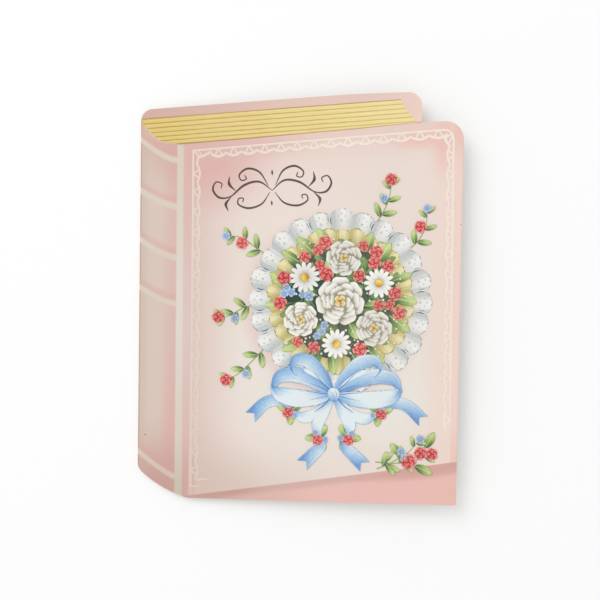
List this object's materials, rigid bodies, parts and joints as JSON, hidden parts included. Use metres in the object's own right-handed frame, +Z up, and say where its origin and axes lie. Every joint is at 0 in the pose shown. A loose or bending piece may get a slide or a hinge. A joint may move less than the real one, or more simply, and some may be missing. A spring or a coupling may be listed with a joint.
{
  "type": "greeting card",
  "caption": "Folded greeting card die-cut in the outline of a thick closed book, lying on its back leaf with the front leaf sprung slightly open; printed cover with gilt page edges and a posy.",
  "frame": {"origin": "on the table, under the middle of the card's outline", "axes": "+X from the fold to the free edges, +Y up the face of the card, +Z up from the table"},
  "size_m": [0.127, 0.162, 0.0092],
  "materials": {
    "card_stock": "matt uncoated card stock, aged to a warm cream, printed in pale pink"
  },
  "bodies": {
    "root": {"folded_card": "card_stock"}
  },
  "joints": []
}
